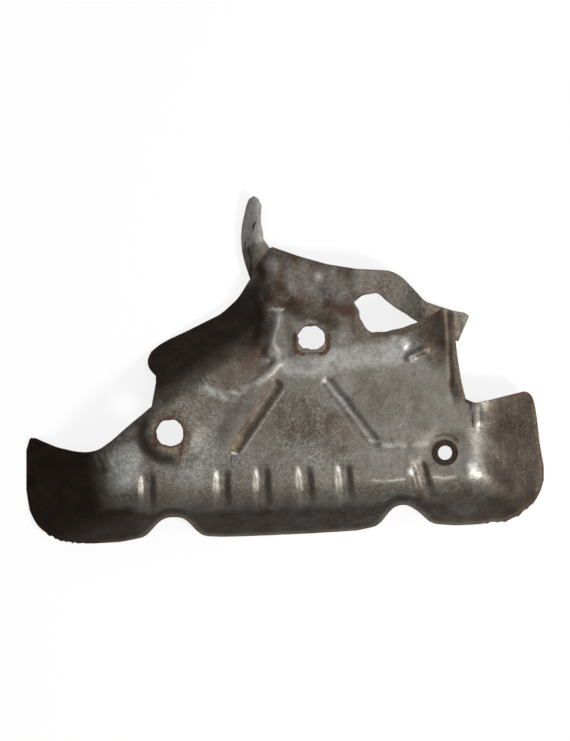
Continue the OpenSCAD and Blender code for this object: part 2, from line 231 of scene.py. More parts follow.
def wing_lift(x, y):
    """The bent-up wing, with its turned-down band and its gusset bead."""
    lift = np.maximum(0, past(x, y, WING_FOLD, WING_WAY) / WING_REACH)
    inboard = BAND_PLACE[0] - BAND_LEAN * (y - BAND_PLACE[1])
    turned = np.clip(x - inboard, -FOLD_SOFT, BAND_W)
    round_in = (turned + FOLD_SOFT) ** 2 / (4 * FOLD_SOFT)
    band = np.where(turned < FOLD_SOFT, round_in, turned) * fall(x, 136, 8)
    off, _ = line_distance(x, y, *GUSSET)
    bead = GUSSET_H * (1 - ease(off / GUSSET_W))
    return WING_RISE * lift ** WING_CURL - BAND_FALL * band * rise(y, -32, 26) + bead


def strip_drop(x):
    return (FACE_H - STRIP_END_H - SHEET_T) * rise(x, OPEN_X, STRIP_RUN)


def path_distance(x, y, path):
    """Distance from a line through points, and the share of the way along it."""
    best, along = np.full_like(x, 1e6), np.zeros_like(x)
    lengths = [math.dist(a, b) for a, b in zip(path, path[1:])]
    done = 0.0
    for a, b, length in zip(path, path[1:], lengths):
        off, t = line_distance(x, y, a, b)
        closer = off < best
        best = np.where(closer, off, best)
        along = np.where(closer, (done + t * length) / sum(lengths), along)
        done += length
    return best, along


def crease(x, y, path, width, height, taper=0.25):
    """A long dent or fold, deepest along its line and fading to both ends."""
    off, t = path_distance(x, y, path)
    ends = ease(np.minimum(t, 1 - t) / taper)
    return height * np.exp(-(off / width) ** 2) * ends


CREASES = [
    # points along it, half width, height
    (((-4.6, 43), (-5.5, 31), (-8.5, 21), (-5, 13)), 2.6, 1.0),
    (((-5, 13), (-3.6, 6), (-10, -1.5), (-18.5, -7.5), (-28, -14)), 3.0, 1.15),
    (((-8.5, 21), (-12.5, 14), (-8.5, 8)), 1.6, 0.7),
    (((-12, 3), (-9, 9)), 1.5, -0.6),
    (((2.8, 36), (1.2, 20), (3.5, 5)), 3.6, -0.7),
    (((-12, 42.7), (-1, 42.7)), 1.0, 0.45),
    (((-13, 38), (-14, 20), (-19, 6)), 3.6, -0.9),
    (((0, 9), (60, 7.5)), 6.0, 0.45),
    (((30, 30), (36, 14)), 5.0, 0.5),
    (((-133, -57), (-126, -71)), 2.4, -1.5),
    (((-128, -56), (-121, -69)), 2.6, 0.9),
    (((130.5, -23), (131.6, -30), (133.6, -38)), 1.5, -0.6),
    (((135.5, -22), (136.5, -40)), 2.2, 0.7),
    (((78, 22), (86, 15)), 3.4, 0.7),
    (((104, 30), (109, 10)), 5.5, -0.7),
    (((20, 62), (30, 44)), 5.0, -0.8),
    (((34, 66), (42, 52)), 4.5, 0.6),
    (((-62, -8), (-34, 12)), 6.0, 0.8),
    (((-10, 76), (-6, 56)), 4.0, 0.6),
    (((66, 60), (100, 42)), 6.0, -0.7),
    (((150, -24), (152, -80)), 5.0, 0.5),
    (((160, -24), (163, -74)), 4.0, -0.4),
    (((-60, -52), (-64, -72)), 6.0, 0.4),
    (((38, -30), (70, -22)), 12.0, -0.5),
    (((-10, -40), (20, -30)), 14.0, -0.6),
]

# The lump where the ridge's creases meet
KNOB, KNOB_H, KNOB_SPREAD = (-8, 16), 1.1, 45


def dents(x, y):
    """How far the sheet stands out of its pressed form, along its normal."""
    out = np.zeros_like(x)
    for rib_x, top, fade, lean in zip(RIB_X, RIB_TOP, RIB_FADE, RIB_LEAN):
        across = np.abs(x - rib_x - lean * (top - y)) / (RIB_W / 2)
        along = fall(y, top + RIB_START, RIB_RISE) * rise(y, fade, RIB_RUN_OUT)
        out -= RIB_D * (1 - ease((across - RIB_FLAT) / (1 - RIB_FLAT))) * along
    for start, end in SLANTS:
        off, _ = line_distance(x, y, start, end)
        out -= SLANT_D * (1 - ease(off / (SLANT_W / 2)))
    from_eyelet = np.hypot(x - EYELET[0], y - EYELET[1])
    out -= SEAT_DEPTH * (1 - ease((from_eyelet - LAND_R) / (SEAT_R - LAND_R)))
    for path, width, height in CREASES:
        out += crease(x, y, path, width, height)
    knob_x, knob_y = KNOB
    return out + KNOB_H * np.exp(-((x - knob_x) ** 2 + (y - knob_y) ** 2) / KNOB_SPREAD)


def sheet_height(x, y, above, foot):
    """Height of the outer skin: above is 1 on the strip's side of the opening, foot ends the fall."""
    z = pressed_height(x, np.where(above > 0, np.minimum(y, foot), y))
    left = near(x, y, LEFT_HOLE, LEFT_LAND_R, LEFT_SEAT_W)
    z = z * (1 - left) + (FACE_H + LEFT_SEAT_RISE) * left
    centre = near(x, y, CENTRE_HOLE, CENTRE_LAND_R, CENTRE_SEAT_W)
    plane = FACE_H - CENTRE_DROP - math.tan(math.radians(CENTRE_TILT)) * (y - CENTRE_HOLE[1])
    z = z * (1 - centre) + plane * centre
    return z + np.where(above > 0, -strip_drop(x), wing_lift(x, y))


# The blank: one grid of cells between the rails, some of them missing

def smooth_rail(rail, columns, reach):
    """A rail at each column, with its corners rounded over reach columns to each side."""
    table = np.array(rail, float)
    out = []
    for k in (1, 2):
        line = np.interp(columns, table[:, 0], table[:, k])
        inside = (columns > table[0, 0] + 4) & (columns < table[-1, 0] - 4)
        soft = sum(np.roll(line, s) for s in range(-reach, reach + 1)) / (2 * reach + 1)
        out.append(np.where(inside, soft, line))
    return np.stack(out, 1)


def blank_columns():
    stops = [LEFT_X, FLANGE_X, TONGUE_X, TONGUE_HI_X, OPEN_X, SHOULDER_X, RIGHT_X]
    parts = []
    for a, b in zip(stops, stops[1:]):
        n = math.ceil((b - a) / COLUMN_STEP)
        parts.append(np.linspace(a, b, n, endpoint=False))
    return np.concatenate(parts + [[RIGHT_X]])


def ragged(x, low, high, depth, size):
    """Small teeth along an edge between two places, with the larger ones about size apart."""
    teeth = np.abs(value_noise(x, 0 * x, size, 7.3)) * 1.6
    teeth += 0.4 * value_noise(x, 0 * x, 0.42 * size, 2.1)
    return depth * teeth * rise(x, low, 4) * fall(x, high, 4)


def blank_rails(columns):
    """The rails at each column, with ragged rims and the torn opening's uneven edges."""
    rails = [smooth_rail(r, columns, 0 if r is TIP else RAIL_ROUND) for r in RAILS]
    rails[LOWER][:, 1] += ragged(columns, *LEFT_TEETH) + ragged(columns, *RIGHT_TEETH)
    uneven = value_noise(columns, 0 * columns, TORN_SIZE, 3.3)
    uneven = TORN_DEPTH * uneven * rise(columns, 52, 6)
    rails[TORN][:, 1] += uneven * fall(columns, 118, 12)
    rails[UPPER][:, 1] += 0.8 * uneven * fall(columns, 95, 8)
    return rails


def bows(band, share, columns):
    """How far the points of a row move left, share of the way from one rail to the next."""
    hump = math.sin(math.pi * share)
    across = np.clip((columns - TONGUE_X) / (TONGUE_HI_X - TONGUE_X), 0, 1)
    if band == MIDDLE:
        return [WING_BOW * ease((columns - SHOULDER_X) / 28 + 1) * hump]
    if band == TORN:
        return [-TEAR_BOW * hump ** 3 * rise(columns, 40, 10)]
    if band == UPPER:
        return [FLANGE_BOW * hump * fall(columns, FLANGE_X + 30, 30)]
    if band == TONGUE:
        sides = TONGUE_BOW_LEFT * (1 - across) + TONGUE_BOW_RIGHT * across
        return [sides * hump, TONGUE_NECK * across * (1 - ease(abs(share - 0.2) / 0.2))]
    return []


def skin_points(x, y, above):
    """The outer skin: the pressed form, with its dents and a slight wander along its normal."""
    top = np.array(TOP, float)
    foot = np.interp(x, top[:, 1], top[:, 2])
    z = sheet_height(x, y, above, foot)
    slope_x = (sheet_height(x + SLOPE_STEP, y, above, foot) - z) / SLOPE_STEP
    slope_y = (sheet_height(x, y + SLOPE_STEP, above, foot) - z) / SLOPE_STEP
    n = np.stack([-slope_x, -slope_y, np.ones_like(x)], 1)
    n /= np.linalg.norm(n, axis=1)[:, None]
    wander = sum(depth * value_noise(x, y, size, seed) for depth, size, seed in WANDER)
    near_hole = np.maximum(near(x, y, LEFT_HOLE, 11, 8), near(x, y, EYELET, 15, 8))
    out = dents(x, y) + wander * (1 - near_hole)
    points = np.stack([x, y, z], 1) + n * out[:, None]
    return np.clip(points, np.array(cad_low) / MM, np.array(cad_high) / MM)


def make_blank():
    """The outer skin as a mesh, and the points of its outline."""
    columns = blank_columns()
    rails = blank_rails(columns)
    rows = [(band, k / n) for band, n in enumerate(RAIL_ROWS) for k in range(n)] + [(TONGUE, 1.0)]
    across = len(columns)
    x = np.empty((len(rows), across))
    y = np.empty((len(rows), across))
    above = np.zeros((len(rows), across))
    first_above = RAIL_ROWS[LOWER] + RAIL_ROWS[MIDDLE] + 1
    for j, (band, share) in enumerate(rows):
        line = rails[band] * (1 - share) + rails[band + 1] * share
        x[j], y[j] = line[:, 0], line[:, 1]
        for bow in bows(band, share, columns):
            x[j] -= bow
        above[j] = float(j >= first_above)
    points = skin_points(x.ravel(), y.ravel(), above.ravel())

    def at(place):
        return int(np.argmin(np.abs(columns - place)))

    span = {LOWER: (0, across - 1), MIDDLE: (at(FLANGE_X), at(SHOULDER_X)),
            TORN: (at(FLANGE_X), at(OPEN_X)), UPPER: (at(FLANGE_X), at(SHOULDER_X)),
            TONGUE: (at(TONGUE_X), at(TONGUE_HI_X))}
    faces = []
    for j, (band, _) in enumerate(rows[:-1]):
        for i in range(*span[band]):
            a = j * across + i
            faces.append((a, a + 1, a + across + 1, a + across))
    used = np.unique(np.array(faces))
    new = np.full(len(points), -1)
    new[used] = np.arange(len(used))
    mesh = bpy.data.meshes.new("heat_shield_panel")
    mesh.from_pydata((points[used] * MM).tolist(), [], new[np.array(faces)].tolist())
    panel = bpy.data.objects.new("heat_shield_panel", mesh)
    bpy.context.scene.collection.objects.link(panel)
    return panel, rim_points(points, faces)


def rim_points(points, faces):
    """The points on edges that only one cell has."""
    seen = {}
    for face in faces:
        for a, b in zip(face, face[1:] + face[:1]):
            key = (min(a, b), max(a, b))
            seen[key] = seen.get(key, 0) + 1
    return points[sorted({k for edge, count in seen.items() if count == 1 for k in edge})]


def select_only(obj):
    bpy.ops.object.select_all(action="DESELECT")
    obj.select_set(True)
    bpy.context.view_layer.objects.active = obj


def apply_modifier(obj, kind, **settings):
    select_only(obj)
    mod = obj.modifiers.new(kind.lower(), kind)
    for name, value in settings.items():
        setattr(mod, name, value)
    bpy.ops.object.modifier_apply(modifier=mod.name)


def cut(panel, cutter):
    apply_modifier(panel, "BOOLEAN", operation="DIFFERENCE", solver="MANIFOLD", object=cutter)
    bpy.data.objects.remove(cutter)


# Cutters of the holes and of the four tears
HOLE_DEPTH, HOLE_STEPS, RIM_WAVES = 20, 120, 2.5
HOLES = [
    # place, radius, stretch, wear of the rim, tilt of the seat in degrees
    (LEFT_HOLE, LEFT_HOLE_R, 1.02, 0.09, 0.0),
    (CENTRE_HOLE, 9.0, 1.07, 0.11, CENTRE_TILT),
    (EYELET, 6.5, 1.0, 0.0, 0.0),
]
SMOOTH_DEG = 50
SLIT_W, SLIT_DEPTH = 0.35, 8
SLITS = [
    # place and height over the face, end, lean of the tear in degrees
    ((-90.6, -44, 1.6), (-91.2, -54.5), -55), ((-71.6, -50.5, 1.6), (-72.6, -60), 55),
    ((7.4, 25, -1.6), (7.0, 13.5), -55), ((31, 23, -1.2), (30.4, 13), 55),
]


def hole_cutter(place, radius, stretch, wear, tilt):
    """A drilled hole whose rim has rusted uneven."""
    bpy.ops.object.select_all(action="DESELECT")
    bpy.ops.mesh.primitive_cylinder_add(
        vertices=HOLE_STEPS, radius=radius * MM, depth=HOLE_DEPTH * MM)
    tool = bpy.context.object
    for v in tool.data.vertices:
        angle = math.atan2(v.co.y, v.co.x)
        on_rim = Vector((math.cos(angle) * RIM_WAVES, math.sin(angle) * RIM_WAVES, radius))
        worn = 1 + wear * noise.noise(on_rim)
        v.co.x *= worn * stretch
        v.co.y *= worn / stretch
    tool.rotation_euler.x = -math.radians(tilt)
    tool.location = (place[0] * MM, place[1] * MM, FACE_H * MM)
    return tool


def slit_cutter(start, end, width, lean):
    """A fine tear whose lips overlap, so that nothing shows through it from above."""
    bpy.ops.object.select_all(action="DESELECT")
    bpy.ops.mesh.primitive_cube_add(size=1)
    tool = bpy.context.object
    run = Vector((end[0] - start[0], end[1] - start[1], 0))
    tool.scale = (run.length * MM, width * MM, SLIT_DEPTH * MM)
    tool.rotation_euler = (math.radians(lean), 0, math.atan2(run.y, run.x))
    level = FACE_H + start[2]
    tool.location = ((start[0] + end[0]) / 2 * MM, (start[1] + end[1]) / 2 * MM, level * MM)
    return tool


def make_panel():
    panel, rim = make_blank()
    apply_modifier(panel, "SOLIDIFY", thickness=SHEET_T * MM, offset=-1, use_even_offset=True)
    for hole in HOLES:
        cut(panel, hole_cutter(*hole))
    for start, end, lean in SLITS:
        cut(panel, slit_cutter(start, end, SLIT_W, lean))
    select_only(panel)
    bpy.ops.object.shade_smooth_by_angle(angle=math.radians(SMOOTH_DEG))
    return panel, rim


# Materials

def srgb(code):
    """A hex colour as linear red, green, blue and alpha."""
    parts = [int(code[k:k + 2], 16) / 255 for k in (1, 3, 5)]
    return [c / 12.92 if c <= 0.04045 else ((c + 0.055) / 1.055) ** 2.4 for c in parts] + [1.0]


def add(tree, kind, inputs=None, **settings):
    """A node with its settings, and its inputs set to values or linked to sockets."""
    node = tree.nodes.new(kind)
    for name, value in settings.items():
        setattr(node, name, value)
    for key, value in (inputs or {}).items():
        if isinstance(value, bpy.types.NodeSocket):
            tree.links.new(value, node.inputs[key])
        else:
            node.inputs[key].default_value = value
    return node


def new_material(name):
    material = bpy.data.materials.new(name)
    material.use_nodes = True
    material.node_tree.nodes.clear()
    return material, material.node_tree


def ramp(tree, value, stops):
    """Colours along a value, each stop a place and a hex colour."""
    node = add(tree, "ShaderNodeValToRGB", {"Fac": value})
    found = node.color_ramp.elements
    found[0].position, found[0].color = stops[0][0], srgb(stops[0][1])
    found[1].position, found[1].color = stops[-1][0], srgb(stops[-1][1])
    for place, code in stops[1:-1]:
        found.new(place).color = srgb(code)
    return node.outputs["Color"]


def blend_colour(tree, share, below, above):
    mix = add(tree, "ShaderNodeMix", data_type="RGBA")
    tree.links.new(share, mix.inputs[0])
    for socket, value in ((mix.inputs[6], below), (mix.inputs[7], above)):
        if isinstance(value, bpy.types.NodeSocket):
            tree.links.new(value, socket)
        else:
            socket.default_value = value
    return mix.outputs[2]


def sharpen(tree, value, low, high, top=1.0):
    """The value's stretch from low to high, spread over 0 to top."""
    found = add(tree, "ShaderNodeMapRange", {
        "Value": value, "From Min": low, "From Max": high, "To Max": top},
        interpolation_type="SMOOTHSTEP")
    return found.outputs["Result"]


def math_node(tree, operation, a, b):
    return add(tree, "ShaderNodeMath", {0: a, 1: b}, operation=operation).outputs[0]


def mask(tree, name):
    return add(tree, "ShaderNodeAttribute", attribute_name=name).outputs["Fac"]


def noise_of(tree, point, scale, detail=5.0, roughness=0.6):
    node = add(tree, "ShaderNodeTexNoise", {
        "Vector": point, "Scale": scale, "Detail": detail, "Roughness": roughness})
    return node.outputs["Fac"]


def broken(tree, share, pattern, amount):
    """A painted share whose edge is broken up by a pattern."""
    shift = math_node(tree, "SUBTRACT", pattern, 0.5)
    shift = math_node(tree, "MULTIPLY", shift, amount)
    return math_node(tree, "ADD", share, shift)


def scratches(tree, point, turn, seed):
    """Fine straight scratches, broken into lengths, running one way over the plan."""
    mapped = add(tree, "ShaderNodeMapping", {
        "Vector": point, "Location": (seed, seed, seed), "Rotation": (0, 0, math.radians(turn)),
        "Scale": (1 / 45, 1 / 2200, 1 / 45)}, vector_type="TEXTURE")
    lines = noise_of(tree, mapped.outputs["Vector"], 1.0, 2.0, 0.5)
    return sharpen(tree, lines, 0.68, 0.76)


def tarnished_steel():
    """Pressed mild steel sheet, dulled by heat and use: grey metal with fine brown mottling,
    soot and painted shade on the falling sides, orange rust at the holes and torn rims,
    painted highlights and sheen with rubbed bright folds, pits and fine scratches."""
    material, tree = new_material("tarnished_pressed_steel")
    point = add(tree, "ShaderNodeTexCoord").outputs["Object"]
    # Clouds about 40 mm across, patches of 15 mm, stains of 8 mm, flecks of 2 mm, fine grain
    cloud = noise_of(tree, point, 22.0, 4.0, 0.55)
    patch = noise_of(tree, point, 62.0, 4.0, 0.6)
    stain = noise_of(tree, point, 110.0, 6.0, 0.65)
    fleck = noise_of(tree, point, 430.0, 5.0, 0.7)
    grain = noise_of(tree, point, 1100.0, 3.0, 0.7)
    scored = math_node(tree, "MAXIMUM", scratches(tree, point, 24, 3), scratches(tree, point, -52, 8))
    scored = math_node(tree, "MULTIPLY", scored, sharpen(tree, cloud, 0.42, 0.62))
    cells = add(tree, "ShaderNodeTexVoronoi", {"Vector": point, "Scale": 300.0})
    pits = sharpen(tree, cells.outputs["Distance"], 0.17, 0.07)
    pits = math_node(tree, "MULTIPLY", pits, sharpen(tree, stain, 0.5, 0.66))

    steel = ramp(tree, cloud, [(0.3, "#5a534b"), (0.5, "#6c6760"), (0.7, "#7c7a74")])
    # Heat has left the metal speckled: brown-black flecks in patches, and paler bare ones
    speckle = broken(tree, grain, fleck, 0.7)
    freckled = broken(tree, mask(tree, "brown"), cloud, 2.2)
    drawn = add(tree, "ShaderNodeMapping", {"Vector": point, "Scale": (260.0, 32.0, 60.0)})
    streak = noise_of(tree, drawn.outputs["Vector"], 1.0, 4.0, 0.6)
    dark = math_node(tree, "MULTIPLY", sharpen(tree, speckle, 0.52, 0.34),
                     sharpen(tree, freckled, -0.1, 1.1, 0.9))
    steel = blend_colour(tree, dark, steel, srgb("#32281f"))
    mottle = broken(tree, broken(tree, stain, fleck, 0.6), streak, 0.6)
    steel = blend_colour(tree, sharpen(tree, mottle, 0.42, 0.8, 0.45), steel, srgb("#4a3f35"))
    steel = blend_colour(tree, sharpen(tree, speckle, 0.46, 0.8, 0.32), steel, srgb("#9b9a94"))
    # Brown heat tint, then the pale tan film
    granular = broken(tree, fleck, grain, 0.5)
    brown = broken(tree, broken(tree, mask(tree, "brown"), stain, 1.3), granular, 1.0)
    umber = ramp(tree, broken(tree, broken(tree, patch, speckle, 0.35), streak, 0.45),
                 [(0.18, "#33271f"), (0.5, "#52473c"), (0.84, "#766a5a")])
    steel = blend_colour(tree, sharpen(tree, brown, 0.05, 0.85, 0.92), steel, umber)
    tan = broken(tree, broken(tree, mask(tree, "tan"), stain, 0.7), fleck, 0.5)
    clay = ramp(tree, speckle, [(0.34, "#54442f"), (0.5, "#70604a"), (0.68, "#8c7d66")])
    steel = blend_colour(tree, sharpen(tree, tan, 0.15, 0.8, 0.9), steel, clay)
    # Coarse dark and light grains
    coarse = sharpen(tree, broken(tree, mask(tree, "grainy"), patch, 1.6), -0.2, 1.1, 0.75)
    coarse = math_node(tree, "ADD", coarse, 0.15)
    pitted = math_node(tree, "MULTIPLY", sharpen(tree, granular, 0.53, 0.35, 0.7), coarse)
    steel = blend_colour(tree, pitted, steel, srgb("#40392f"))
    bright = math_node(tree, "MULTIPLY", sharpen(tree, granular, 0.52, 0.68, 0.6), coarse)
    steel = blend_colour(tree, bright, steel, srgb("#94958c"))
    # Red flush, then painted sheen and highlights over rubbed metal, almost white at the brightest
    # highlights
    flush = broken(tree, mask(tree, "flush"), stain, 0.9)
    steel = blend_colour(tree, sharpen(tree, flush, 0.15, 1.0, 0.85), steel, srgb("#451e1a"))
    rubbed_and_highlight = broken(tree, broken(tree, mask(tree, "rubbed_and_highlight"), stain, 0.6), fleck, 0.6)
    painted_sheen = sharpen(tree, rubbed_and_highlight, 0.1, 0.9, 0.66)
    steel = blend_colour(tree, painted_sheen, steel, srgb("#b9bab4"))
    rubbed_and_highlight = sharpen(tree, rubbed_and_highlight, 0.62, 1.1, 0.95)
    steel = blend_colour(tree, rubbed_and_highlight, steel, srgb("#f0efe8"))
    # Soot and painted shade, then rust, with scratches and pits over them
    soot_and_shade = broken(tree, broken(tree, mask(tree, "soot_and_shade"), stain, 0.6), speckle, 0.6)
    soot_and_shade = sharpen(tree, soot_and_shade, 0.0, 1.0, 0.97)
    steel = blend_colour(tree, soot_and_shade, steel, ramp(tree, stain, [(0.35, "#0f0905"), (0.65, "#2a1d15")]))
    rust = broken(tree, broken(tree, mask(tree, "rust"), stain, 0.9), fleck, 0.9)
    rust = sharpen(tree, rust, 0.35, 0.8, 0.95)
    ochre = ramp(tree, broken(tree, fleck, grain, 0.5),
                 [(0.3, "#1a0e08"), (0.54, "#432614"), (0.78, "#8a5228")])
    steel = blend_colour(tree, rust, steel, ochre)
    scored = math_node(tree, "MULTIPLY", scored, math_node(tree, "SUBTRACT", 1.0, soot_and_shade))
    steel = blend_colour(tree, math_node(tree, "MULTIPLY", scored, 0.45), steel, srgb("#c4c2bb"))
    steel = blend_colour(tree, math_node(tree, "MULTIPLY", pits, 0.8), steel, srgb("#241b15"))

    # Rust, soot and painted shade, tint and film are rougher and less metallic
    dull = math_node(tree, "MAXIMUM", rust, math_node(tree, "MULTIPLY", soot_and_shade, 0.45))
    dull = math_node(tree, "MAXIMUM", dull, math_node(tree, "MULTIPLY", mask(tree, "brown"), 0.35))
    dull = math_node(tree, "MAXIMUM", dull, math_node(tree, "MULTIPLY", mask(tree, "tan"), 0.7))
    metal = math_node(tree, "SUBTRACT", 0.95, sharpen(tree, dull, 0.0, 1.0, 0.85))
    rough = math_node(tree, "ADD", math_node(tree, "MULTIPLY", fleck, 0.34), 0.24)
    rough = math_node(tree, "ADD", rough, math_node(tree, "MULTIPLY", dull, 0.25))
    rough = math_node(tree, "SUBTRACT", rough, math_node(tree, "MULTIPLY", rubbed_and_highlight, 0.12))
    gloss = math_node(tree, "SUBTRACT", 0.5, math_node(tree, "MULTIPLY", soot_and_shade, 0.42))

    # Relief of the grain, pits, scratches and rust
    relief = math_node(tree, "MULTIPLY", grain, 0.3)
    relief = math_node(tree, "ADD", relief, fleck)
    relief = math_node(tree, "SUBTRACT", relief, pits)
    relief = math_node(tree, "SUBTRACT", relief, math_node(tree, "MULTIPLY", scored, 0.3))
    relief = math_node(tree, "ADD", relief, math_node(tree, "MULTIPLY", rust, 0.8))
    bump = add(tree, "ShaderNodeBump", {"Height": relief, "Strength": 0.3, "Distance": 0.0004})
    shader = add(tree, "ShaderNodeBsdfPrincipled", {
        "Base Color": steel, "Metallic": metal, "Roughness": rough, "Normal": bump.outputs[0],
        "Specular IOR Level": gloss})
    add(tree, "ShaderNodeOutputMaterial", {"Surface": shader.outputs[0]})
    return material


def rusted_eyelet():
    """Turned steel bush under dark brown rust: matt and grainy, with lighter flecks."""
    material, tree = new_material("rusted_steel_eyelet")
    point = add(tree, "ShaderNodeTexCoord").outputs["Object"]
    fleck = noise_of(tree, point, 520.0, 5.0, 0.7)
    brown = ramp(tree, fleck, [(0.32, "#140c06"), (0.52, "#2b1b10"), (0.75, "#4f3722")])
    bump = add(tree, "ShaderNodeBump", {"Height": fleck, "Strength": 0.5, "Distance": 0.0004})
    shader = add(tree, "ShaderNodeBsdfPrincipled", {
        "Base Color": brown, "Metallic": 0.0, "Roughness": 0.75, "Normal": bump.outputs[0],
        "Specular IOR Level": 0.25})
    add(tree, "ShaderNodeOutputMaterial", {"Surface": shader.outputs[0]})
    return material


SEEN_SHARE = 0.82


def pale_floor():
    """White studio paper, which the camera and the metal see a little lighter than it is lit."""
    material, tree = new_material("pale_floor")
    paper = add(tree, "ShaderNodeBsdfPrincipled", {"Base Color": srgb("#f4f3f1"), "Roughness": 0.9})
    glow = add(tree, "ShaderNodeEmission", {"Color": srgb("#ffffff"), "Strength": 1.0})
    path = add(tree, "ShaderNodeLightPath")
    seen = math_node(tree, "MAXIMUM", path.outputs["Is Camera Ray"], path.outputs["Is Glossy Ray"])
    seen = math_node(tree, "MAXIMUM", seen, path.outputs["Is Transmission Ray"])
    share = math_node(tree, "MULTIPLY", seen, SEEN_SHARE)
    mix = add(tree, "ShaderNodeMixShader", {0: share, 1: paper.outputs[0], 2: glow.outputs[0]})
    add(tree, "ShaderNodeOutputMaterial", {"Surface": mix.outputs[0]})
    return material


def dress(obj, material):
    obj.data.materials.clear()
    obj.data.materials.append(material)


# Where the finish changes over the sheet, as shares stored on its points

def near_line(x, y, start, end, core, fade):
    return 1 - ease((line_distance(x, y, start, end)[0] - core) / fade)


def rim_gap(points, rim):
    """Distance of each point from the nearest point of the outline, in millimetres."""
    tree = KDTree(len(rim))
    for k, p in enumerate(rim):
        tree.insert(p, k)
    tree.balance()
    return np.array([tree.find(p)[2] for p in points])


def strongest(*shares):
    return np.maximum.reduce(shares)


# Each mark is the points along it in millimetres, its core, its fade and its share

# Painted highlights and sheen on folds, lips and high places, partly metal rubbed bright
RUBBED_AND_HIGHLIGHT = [
    (((-114, -75), (-111, -64)), 4, 16, 0.66), (((-107, -56),), 2, 8, 0.45),
    (((-58, -46), (-52, -56)), 3, 16, 0.28), (((-64, -70),), 2, 12, 0.36),
    (((-56, -13), (-36, -20)), 1, 9, 0.4), (((-54, -13), (-49, -16)), 0.3, 4, 0.6),
    (((-45, -17), (-41, -20)), 0.3, 3, 0.62), (((-36, -15.5), (-32, -17)), 0.3, 3.4, 0.7),
    (((-4.6, 41), (-5.5, 31), (-8.5, 21), (-4, 12), (-4, 5), (-10, -1.5), (-19, -8),
     (-29, -14)), 0.6, 4.5, 0.42),
    (((-12, 42.7), (-1, 42.7)), 0.3, 1.2, 0.8), (((4, 2), (30, 2)), 3, 9, 0.5),
    (((35, 7), (78, 12)), 4, 11, 0.48), (((38, 24),), 2, 12, 0.4), (((-9, 75),), 1, 10, 0.5),
    (((24, 66),), 0.5, 7, 0.75), (((10, 66), (34, 58)), 4, 14, 0.3),
    (((52, 71), (51.5, 58)), 2, 5, 0.36), (((4, 70), (6, 56)), 1, 6, 0.45),
    (((14, 74), (15, 60)), 1, 5, 0.4), (((34, 70), (34, 56)), 1, 5, 0.4),
    (((16, 34), (22, 34)), 0.3, 2.5, 0.6), (((84, 18),), 0.5, 8, 0.72), (((78, 21),), 0.5, 7, 0.5),
    (((87, 7.8), (92, 8.4)), 0.3, 1.6, 0.6), (((131.2, -67.4), (132.4, -69.6)), 0.4, 7, 0.74),
    (((134, -46), (132, -62)), 1, 6, 0.25), (((134.4, -26), (135.6, -43)), 0.5, 2.2, 0.45),
    (((88.6, -71.4),), 0.3, 5, 0.8),
    (((62, -77.4), (70, -78), (77, -77.2), (84, -76.6)), 0.15, 1.4, 0.8),
    (((102, -75.6), (107, -74.8), (112, -76), (119, -74.6)), 0.2, 2.0, 0.55),
    (((-29.4, 104), (-28.4, 92)), 0.3, 1.4, 0.5), (((136, -73),), 0.3, 4, 0.5),
    (((70, -53), (75, -53.4)), 0.3, 3.4, 0.5), (((79, -52), (84, -53)), 0.3, 3.6, 0.45),
    (((92, -52.2), (100, -51.8)), 0.5, 4, 0.35), (((59, -50), (66, -50)), 0.6, 2, 0.45),
    (((31.5, -10), (62, -49)), 1.4, 2.6, 0.34), (((-37, -58), (-33.5, -58.6)), 0.3, 1.4, 0.9),
    (((-0.2, -14.5), (-30, -58.6)), 0.1, 1.2, 0.5),
]

# Brown heat tint, with painted shade on the bent-up wing, along its fold and over the sixth bead's
# highlight
BROWN = [
    (((4, -38), (34, -44)), 4, 24, 0.6), (((60, -20), (84, -30)), 6, 24, 0.25),
    (((20, 41),), 5, 9, 0.6), (((-5.5, -11), (-35, -55)), 3.2, 1.8, 0.95),
    (((33, 34), (34, 26)), 2, 6, 0.7), (((-6.5, 57),), 3, 9, 0.85),
    (((-1, 49), (8, 45)), 3, 8, 0.85), (((47.5, 42), (50, 28)), 1.5, 4, 0.75),
    (((62, 25), (81, 26.6), (94, 31)), 1.2, 2.2, 0.9),
    (((-80, -33), (-69, -42), (-71, -56)), 1.5, 5, 0.8), (((113, 37), (112, 22)), 7, 22, 1.0),
    (((115.5, 30), (116, 6), (119, -14)), 1.5, 4, 0.8), (((100, 33),), 3, 9, 0.7),
    (((-96, -12), (-70, -14)), 4, 10, 0.5), (((-20, 10), (-46, -10)), 4, 14, 0.55),
    (((108, -60), (110, -50)), 8, 10, 0.35), (((90.5, -74), (96, -90)), 1.2, 3, 0.7),
    (((-84, -33), (-70, -31)), 2, 7, 0.6),
]

# Pale tan film
TAN = [
    (((120.5, 35), (120.6, 14), (123, -8), (127.6, -22)), 1.6, 5, 0.5),
    (((177, -24), (181.5, -50), (185, -75), (180, -94)), 0.5, 4, 0.55),
    (((-32, -49), (-35.4, -55.6)), 2, 3, 0.7), (((46, -29), (62.5, -50.5)), 1.6, 2.6, 0.3),
    (((9.5, 17), (12, 12.5)), 1.2, 2, 0.8), (((28.5, 17), (26, 12.5)), 1.2, 2, 0.8),
    (((-86, -55), (-76, -56)), 1.6, 2, 0.7), (((0, 66), (12, 54)), 2, 9, 0.5),
    (((-20, 118), (-24, 100)), 3, 6, 0.3), (((10, 72), (36, 62)), 3, 10, 0.5),
    (((-8, 62), (-4, 74)), 2, 6, 0.4),
]
